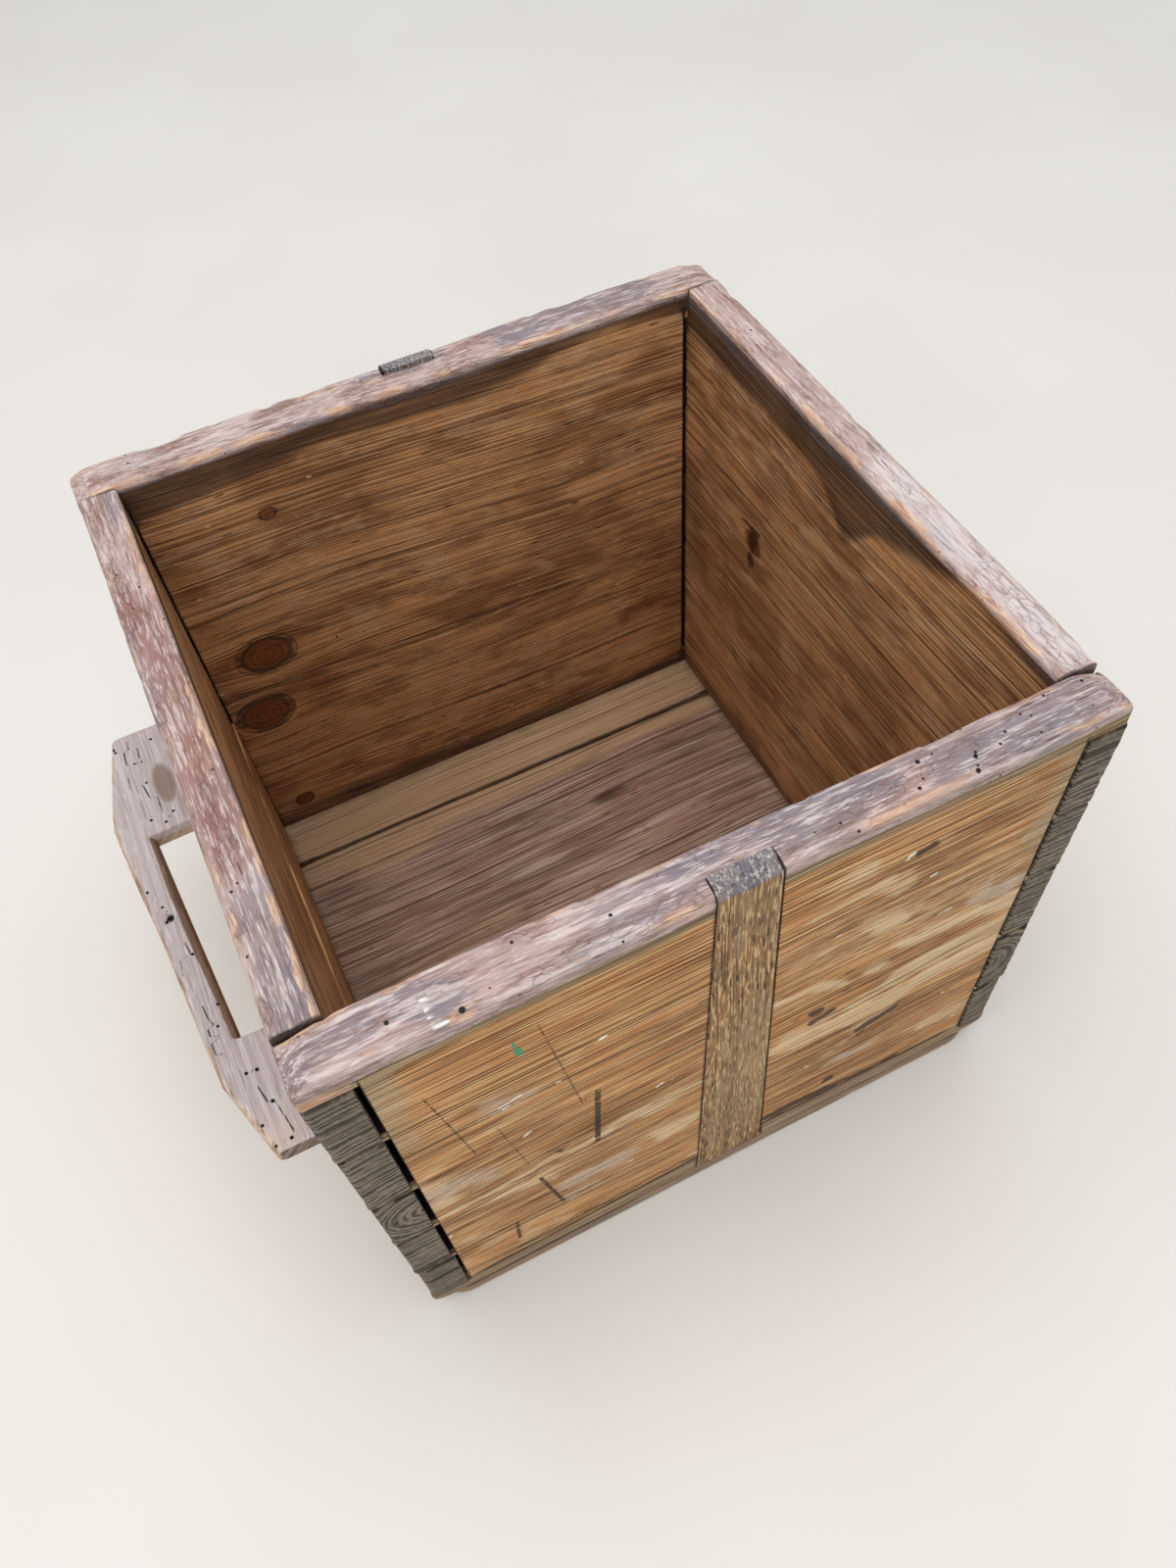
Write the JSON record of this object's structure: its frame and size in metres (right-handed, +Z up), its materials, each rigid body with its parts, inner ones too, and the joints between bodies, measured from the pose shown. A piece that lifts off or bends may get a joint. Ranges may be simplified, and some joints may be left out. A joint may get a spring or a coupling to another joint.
{
  "type": "wooden crate",
  "caption": "Open-topped antique pine crate with through-dovetailed corners, tapered oak keys across the front and back, a nailed plank floor and plank handles on its sides.",
  "frame": {"origin": "middle of the underside, on the surface that the crate stands on", "axes": "+X to the right seen from the front, +Y from the front to the back, +Z up"},
  "size_m": [0.552, 0.428, 0.383],
  "materials": {
    "pine_walls": "old oiled pine, worn and stained at the rim",
    "pine_floor": "dry brown pine, dusty",
    "oak_keys": "quarter-sawn oak, oiled",
    "weathered_handles": "weathered grey plank with bare worn edges",
    "iron_nails": "rusted iron"
  },
  "bodies": {
    "root": {"front_upper_board": "pine_walls", "front_lower_board": "pine_walls", "back_upper_board": "pine_walls", "back_lower_board": "pine_walls", "left_upper_board": "pine_walls", "left_lower_board": "pine_walls", "right_board": "pine_walls", "front_key": "oak_keys", "back_key": "oak_keys", "front_floor_board": "pine_floor", "middle_floor_board": "pine_floor", "back_floor_board": "pine_floor", "floor_nails": "iron_nails", "left_handle": "weathered_handles", "right_handle": "weathered_handles", "left_handle_nails": "iron_nails", "right_handle_nails": "iron_nails"}
  },
  "joints": []
}
